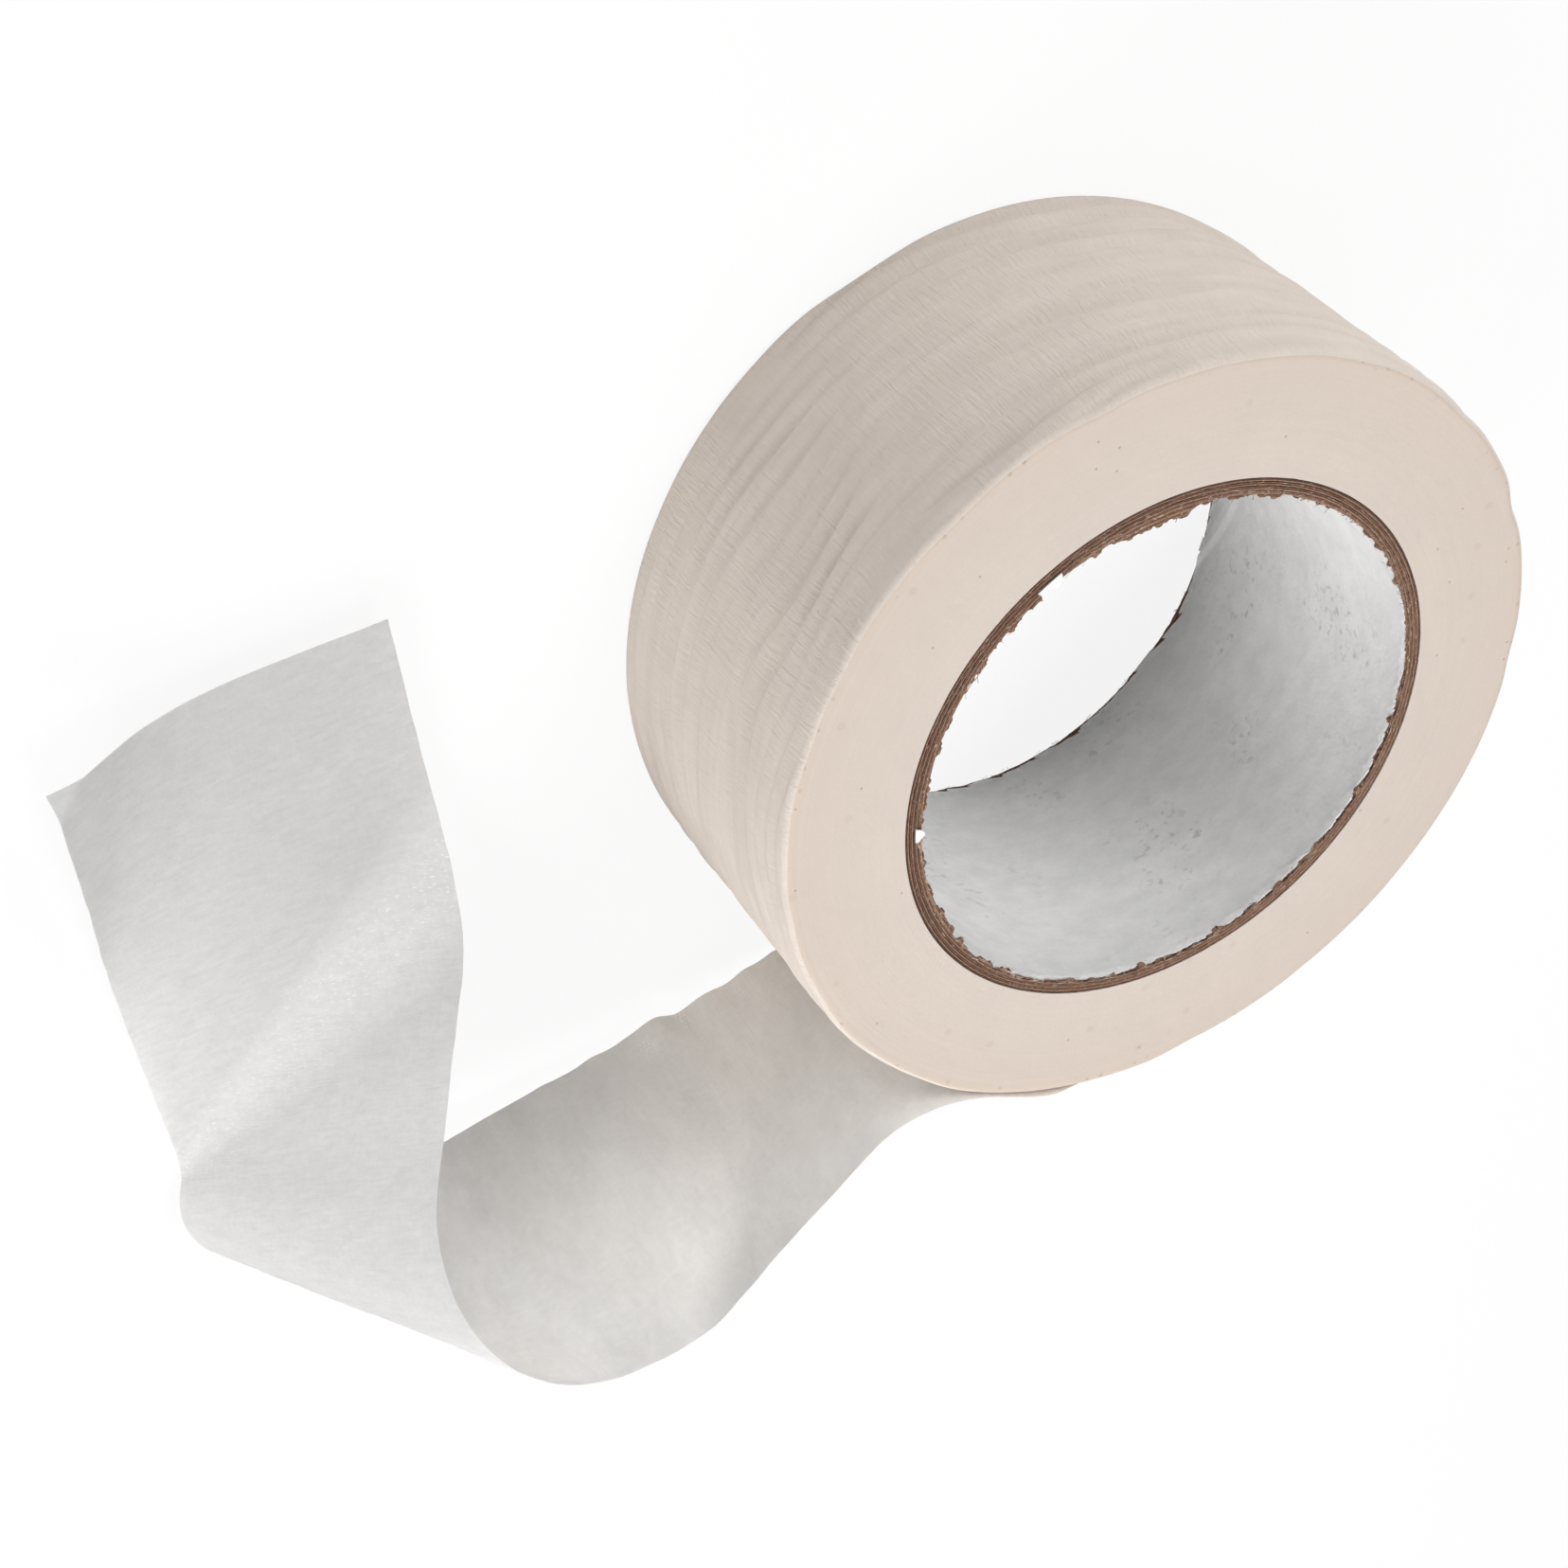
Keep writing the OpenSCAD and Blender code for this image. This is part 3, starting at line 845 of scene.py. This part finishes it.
def core_fibres():
    """Loose fibres and torn chips of board round both ends of the bore."""
    random = np.random.default_rng(7)
    points, faces = [], []
    for end, count in FIBRE_COUNTS.items():
        for thread in range(count):
            angle = random.uniform(0, FULL_TURN)
            if end == NEAR_END and thread % 3 == 0:
                angle = random.choice(TUFT_ANGLES) + random.normal(0, TUFT_SPREAD)
            length = random.uniform(*FIBRE_LENGTHS)
            half_width = random.uniform(*FIBRE_HALF_WIDTHS)
            edge = BORE_RADIUS - max(float(burr_reach(np.array([angle]), end)[0]), 0)
            radius = edge + random.uniform(*FIBRE_STARTS)
            turn = random.normal(0, 0.8)
            curl = random.normal(0, 0.25)
            add_thread(points, faces, fibre_path(end, angle, radius, length, turn, curl), half_width)
    fibres = make_object("core_fibres", np.array(points), np.array(faces), [BOARD_FIBRE])
    place_on_root(fibres, "core_board")


def fibre_path(end, angle, radius, length, turn, curl):
    """Points along a fibre that runs round the edge, leans into the bore and curls up or down."""
    around = length * math.cos(turn) / radius
    inward = length * abs(math.sin(turn)) / 2
    path = []
    for share in (0.0, 0.33, 0.67, 1.0):
        bent = share * share
        height = end * (HALF_WIDTH - 0.1 * MM) + curl * length * bent
        path.append(Vector(ring_points(angle + around * share, height, radius - inward * bent)))
    return path


def add_thread(points, faces, path, half_width):
    """Add a closed square thread along the path to the lists of points and faces."""
    first = len(points)
    last = first + 4 * (len(path) - 1)
    for step, middle in enumerate(path):
        ahead = (path[min(step + 1, len(path) - 1)] - path[max(step - 1, 0)]).normalized()
        side = ahead.cross(Vector((0, 0, 1))).normalized() * half_width
        rise = ahead.cross(side).normalized() * half_width
        points += [tuple(middle + side + rise), tuple(middle - side + rise),
                   tuple(middle - side - rise), tuple(middle + side - rise)]
    for low in range(first, last, 4):
        faces += [(low + corner, low + (corner + 1) % 4, low + 4 + (corner + 1) % 4, low + 4 + corner)
                  for corner in range(4)]
    faces += [(first + 3, first + 2, first + 1, first), (last, last + 1, last + 2, last + 3)]


# ---- Tail ----

def fold_lines():
    """All folds of the tail in order: distance along the top edge, along the bottom edge, and angle."""
    lines = []
    for top_start, top_end, bottom_start, bottom_end, turn in BENDS.values():
        count = math.ceil(abs(math.radians(turn)) / LARGEST_FOLD)
        for fold in range(count):
            share = (fold + 0.5) / count
            lines.append(((top_start + share * (top_end - top_start)) * MM,
                          (bottom_start + share * (bottom_end - bottom_start)) * MM,
                          math.radians(turn) / count))
    return lines


def facet_placements(lines):
    """Where each flat facet of the folded strip sits. Strip axes: along, out of the backing, up."""
    out = Vector((math.cos(PEEL_ANGLE), math.sin(PEEL_ANGLE), 0))
    along = Vector((out.y, -out.x, 0))
    placement = Matrix.Identity(4)
    for column, axis in enumerate((along, out, Vector((0, 0, 1)), out * STRIP_RADIUS)):
        placement.col[column][:3] = axis
    placements = [placement]
    for top, bottom, angle in lines:
        start = placement @ Vector((top, 0, HALF_WIDTH))
        end = placement @ Vector((bottom, 0, -HALF_WIDTH))
        turn = Matrix.Rotation(angle, 4, (end - start).normalized())
        placement = Matrix.Translation(start) @ turn @ Matrix.Translation(-start) @ placement
        placements.append(placement)
    return np.array([[list(row) for row in placement] for placement in placements])


FOLDS = fold_lines()
FACETS = facet_placements(FOLDS)


def tape_points(along, across, out):
    """Points of the tape. Before the peel line it lies loosely round the roll; after it, it is folded."""
    share = (HALF_WIDTH - across) / (2 * HALF_WIDTH)
    passed = np.zeros(along.shape, int)
    for top, bottom, _ in FOLDS:
        passed += along > top + share * (bottom - top)
    facet = FACETS[passed]
    on_tail = (facet[..., :3, 3] + facet[..., :3, 0] * along[..., None]
               + facet[..., :3, 1] * out[..., None] + facet[..., :3, 2] * across[..., None])
    turned = np.clip(-along / STRIP_RADIUS, 0, LOOSE_ARC)
    radius = STRIP_RADIUS + LOOSE_LIFT * np.sin(math.pi * turned / LOOSE_ARC) ** 2 + out
    on_roll = ring_points(PEEL_ANGLE + turned, across, radius)
    return np.where((along < 0)[..., None], on_roll, on_tail)


# Height of the cockles in the middle of the tape, and how much is added at its edges
SOFT_COCKLES = (0.28 * MM, 0.3 * MM)
SMALL_COCKLES = (0.06 * MM, 0.1 * MM)
# The rise is smoother than the rest by this share
CALMER_RISE = 0.4
# The edge that lies on the table was stretched as the tape was pulled, so it waves
FRILL_HEIGHT = 1.2 * MM
FRILL_LENGTH = 4.2 * MM
FRILL_END = 62 * MM
# The last corner of the cut end is bent over
CORNER_FOLD = 4.5 * MM
CORNER_SLOPE = 0.3
EDGE_WAVER = 0.12 * MM


def calm_foot(along, across):
    """0 at the foot of the ridge, where the tape is creased too sharply to wave, and 1 elsewhere."""
    away = np.hypot(along - RIDGE_FOOT, (across + HALF_WIDTH) / 2)
    return smooth_step(away, 4 * MM, 11 * MM)


def tape_cockle(along, across):
    """How far the loose tape waves in and out: soft cockles, a frill along one edge, a bent corner."""
    flat = np.stack([along, across, 0 * along], axis=-1)
    edge = smooth_step(np.abs(across) / HALF_WIDTH, 0.55, 1.0)
    on_rise = smooth_step(along, 100 * MM, 130 * MM)
    soft = (SOFT_COCKLES[0] + SOFT_COCKLES[1] * edge) * (1 - CALMER_RISE * on_rise)
    small = SMALL_COCKLES[0] + SMALL_COCKLES[1] * edge
    cockles = uneven(flat, (soft, 16 * MM, 101), (small, 5 * MM, 103))
    free = smooth_step(along, 2 * MM, 18 * MM) * calm_foot(along, across)
    low_edge = smooth_step(-across / HALF_WIDTH, 0.72, 1.0)
    on_run = smooth_step(along, 4 * MM, 14 * MM) * smooth_step(along, FRILL_END, FRILL_END - 12 * MM)
    frill = FRILL_HEIGHT * low_edge * on_run * noise_at(line_points(along), FRILL_LENGTH, 105)
    from_corner = (TAIL_LENGTH - along) + (HALF_WIDTH + across)
    bent_corner = CORNER_SLOPE * np.clip(CORNER_FOLD - from_corner, 0, None)
    return free * cockles + frill - bent_corner


def edge_waver(along):
    """The slit edge is not quite straight."""
    steady = smooth_step(along, 0.0, 10 * MM) * calm_foot(along, -HALF_WIDTH)
    return EDGE_WAVER * steady * noise_at(line_points(along), 5 * MM, 107)


COLUMNS = 72
ROW_STEP = 0.7 * MM
# The lead-in starts thin, so that it grows out of the turn below without a step
THIN_LENGTH = 8 * MM


def tape_grid(start, end):
    """Strip places of a piece between two lines, each given by its top and bottom distance in mm."""
    rows = 1 + math.ceil(max(end[0] - start[0], end[1] - start[1]) * MM / ROW_STEP)
    down = np.linspace(0, 1, COLUMNS)[None, :]
    step = np.linspace(0, 1, rows)[:, None]
    first = (start[0] + (start[1] - start[0]) * down) * MM
    last = (end[0] + (end[1] - end[0]) * down) * MM
    along = first + (last - first) * step
    across = (HALF_WIDTH + edge_waver(along)) * (1 - 2 * down)
    return along, across


def tape_coat(name, start, end, coat, material, thin_start):
    """One coat of one length of tape."""
    along, across = tape_grid(start, end)
    cockle = tape_cockle(along, across)
    fade = smooth_step(along, along.min(), along.min() + THIN_LENGTH) if thin_start else 1.0
    # The start of the lead-in follows the rounded rims of the turns below it
    across = across * (1 - (1 - fade) * RIM_ROUNDING / HALF_WIDTH)
    low, high = coat
    upper = tape_points(along, across, cockle + high * fade)
    lower = tape_points(along, across, cockle + low * fade)
    return shell(name, upper, lower, [material], uv=np.stack([along, across], axis=-1))


# Each length of tape: its name, where it ends, the joint it crosses, how far before and after the
# joint it bends, and a place beside that hinge. An end is given along the top edge and the bottom
# edge, a place along the middle of the tape, all in mm from the peel line.
LOOSE_START = -LOOSE_ARC * STRIP_RADIUS / MM
LENGTHS = (
    ("lead", (-4, -4), None, None, None),
    ("peel", (1.25, 0.82), "peel_lift", (-0.85, 0.8), 0.0),
    ("run", (46, 30), "pay_out", (1.2, 27), None),
    ("curl_lower", (72, 85), "flex_1", (-12, 9), 58.3),
    ("curl_upper", (109, 115.4), "flex_2", (-3.5, 3.5), 99.3),
    ("rise", (160, 125.3), "flex_3", (-3.5, 2.6), 125.75),
    ("end", (TAIL_LENGTH / MM, TAIL_LENGTH / MM), "flex_4", (-2.6, 8), 159.5),
)
COATS = (
    ("backing", BACKING_COAT, BACKING, "tape_backing"),
    ("adhesive", ADHESIVE_COAT, ADHESIVE, "adhesive"),
)


def tail():
    """Seven lengths of tape, each in two coats. The first goes with its own body; the others stay where
    they are built.
    """
    start, body_before = (LOOSE_START, LOOSE_START), None
    for name, end, joint, reach, place in LENGTHS:
        for coat_name, coat, material, slot in COATS:
            piece = tape_coat(f"tape_{name}_{coat_name}", start, end, coat, material, body_before is None)
            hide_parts(f"{name}_{coat_name}")
            if body_before is None:
                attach(piece, name)
            else:
                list(blend_zone(JOINTS[joint], reach, place))
                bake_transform(piece)
        start, body_before = end, name


def blend_zone(joint, reach, place):
    """Two points, across the joint, between which the tape turns from one body to the next."""
    axis = Vector(joint["axis"]).normalized()
    if joint["type"] == "slide":
        middle, across = PEEL_POINT, axis
    else:
        middle = Vector(joint["pos_m"])
        across = axis.cross(hinge_normal(axis, place)).normalized()
    return [middle + across * distance * MM for distance in reach]


def hinge_normal(axis, place):
    """Direction out of the backing at the hinge, signed so that axis x normal points along the tape."""
    along = np.array([place * MM])
    zero = np.array([0.0])
    base = tape_points(along, zero, zero)[0]
    normal = Vector(tape_points(along, zero, np.array([1.0]))[0] - base)
    ahead = Vector(tape_points(along + 0.5 * MM, zero, zero)[0] - base)
    return normal if axis.cross(normal).dot(ahead) > 0 else -normal


# ---- Stage, lights and camera ----

def direction(bearing, lift):
    """Unit vector from two angles in degrees: from +X towards +Y, and above the table."""
    bearing, lift = math.radians(bearing), math.radians(lift)
    return Vector((math.cos(bearing) * math.cos(lift), math.sin(bearing) * math.cos(lift), math.sin(lift)))


FLOOR_SIZE = 6
FLOOR_GAP = 0.02 * MM
FLOOR_WHITE = (0.9, 0.9, 0.9)
FLOOR_GLOW = 0.88
# Inside the bore the floor is dim on one side, so that it does not light up the shaded wall there.
# It dims between two distances from the axis.
FLOOR_IN_SHADE = (0.2, 0.2, 0.2)
SHADED_WALL = direction(133, 0)
DIM_START = 12 * MM
DIM_END = 27 * MM


def floor():
    """Pale floor that stays nearly white to the camera but lights the roll as plain paper would, except for
    painted shade inside the bore on one side.
    """
    bpy.ops.mesh.primitive_plane_add(size=FLOOR_SIZE, location=(0, 0, CAD_LOW.z - FLOOR_GAP))
    plane = bpy.context.object
    plane.name = "floor"
    look = Shader("floor_white")
    toward_wall = look.add("VectorMath", {0: look.place(), 1: SHADED_WALL}, operation="DOT_PRODUCT")
    dimmed = look.remap(toward_wall.outputs["Value"], DIM_START, DIM_END)
    in_bore = look.math("LESS_THAN", look.radius(), BORE_RADIUS)
    colour = look.mix(look.product(in_bore, dimmed), FLOOR_WHITE, FLOOR_IN_SHADE)
    diffuse = look.add("BsdfDiffuse", {"Color": colour}).outputs["BSDF"]
    glow = look.add("Emission", {"Color": (1.0, 1.0, 1.0, 1.0), "Strength": 1.0}).outputs["Emission"]
    seen = look.add("LightPath").outputs["Is Camera Ray"]
    plane.data.materials.append(look.finish(look.blend(look.product(seen, FLOOR_GLOW), diffuse, glow)))


CAMERA_PLACE = Vector((178.4, -219.0, 260.7)) * MM
# Where the camera is seen from the roll, and how far it was turned, in degrees
VIEW_BEARING = -59.43
VIEW_ELEVATION = 44.86
VIEW_ROLL = 140.1
LENS = 63.48
SENSOR = 36.0
# Name, bearing, degrees above the table, and power in watts
SOFT_BOXES = (
    ("overhead", 0, 90, 3.1),
    ("behind", -125, 30, 4.85),
    ("right", -5, 30, 1.1),
    ("right_back", 35, 30, 4.2),
    ("back", 80, 30, 3.2),
)
SOFT_BOX_AIM = Vector((0.03, 0, 0))
LIGHT_DISTANCE = 0.9
LIGHT_SIZE = 0.55
# Lights only the tape, for the light that comes through the paper
FILL_PLACE = CAMERA_PLACE * 2.2 - Vector((0, 0, 0.25))
FILL_AIM = Vector((0.1, 0, 0))
FILL_POWER = 2.9
ROOM_LIGHT = 0.03
ROOM_COLOUR = (0.97, 0.98, 1.0, 1.0)


def area_light(name, place, aim, power):
    data = bpy.data.lights.new(name, "AREA")
    data.shape = "DISK"
    data.size = LIGHT_SIZE
    data.energy = power
    light = bpy.data.objects.new(name, data)
    light.location = place
    light.rotation_euler = (aim - place).to_track_quat("-Z", "Y").to_euler()
    bpy.context.scene.collection.objects.link(light)
    return light


def lights():
    """Soft boxes, a faint room, and a fill that reaches only the tape."""
    world = bpy.data.worlds.new("studio")
    world.use_nodes = True
    background = world.node_tree.nodes["Background"]
    background.inputs["Color"].default_value = ROOM_COLOUR
    background.inputs["Strength"].default_value = ROOM_LIGHT
    bpy.context.scene.world = world
    for name, bearing, lift, power in SOFT_BOXES:
        area_light(name, direction(bearing, lift) * LIGHT_DISTANCE, SOFT_BOX_AIM, power)
    tape_only = bpy.data.collections.new("tape_only")
    for thing in bpy.data.objects:
        if thing.name.startswith("tape_"):
            tape_only.objects.link(thing)
    fill = area_light("tape_fill", FILL_PLACE, FILL_AIM, FILL_POWER)
    fill.light_linking.receiver_collection = tape_only


def camera():
    """The camera of the photo, turned round its own line of sight."""
    data = bpy.data.cameras.new("camera")
    data.lens = LENS
    data.sensor_width = SENSOR
    data.clip_start = 0.01
    thing = bpy.data.objects.new("camera", data)
    back = direction(VIEW_BEARING, VIEW_ELEVATION)
    level = direction(VIEW_BEARING + 90, 0)
    upright = back.cross(level)
    roll = math.radians(VIEW_ROLL)
    right = level * math.cos(roll) + upright * math.sin(roll)
    up = back.cross(right)
    turn = Matrix((right, up, back)).transposed()
    thing.matrix_world = Matrix.Translation(CAMERA_PLACE) @ turn.to_4x4()
    bpy.context.scene.collection.objects.link(thing)
    bpy.context.scene.camera = thing


wound_tape()
core_board()
core_liner()
for number, (middle, half_length) in enumerate(SCRAPS, 1):
    liner_scrap(number, middle, half_length)
core_fibres()
tail()
floor()
lights()
camera()
bpy.context.scene.view_settings.view_transform = "Standard"
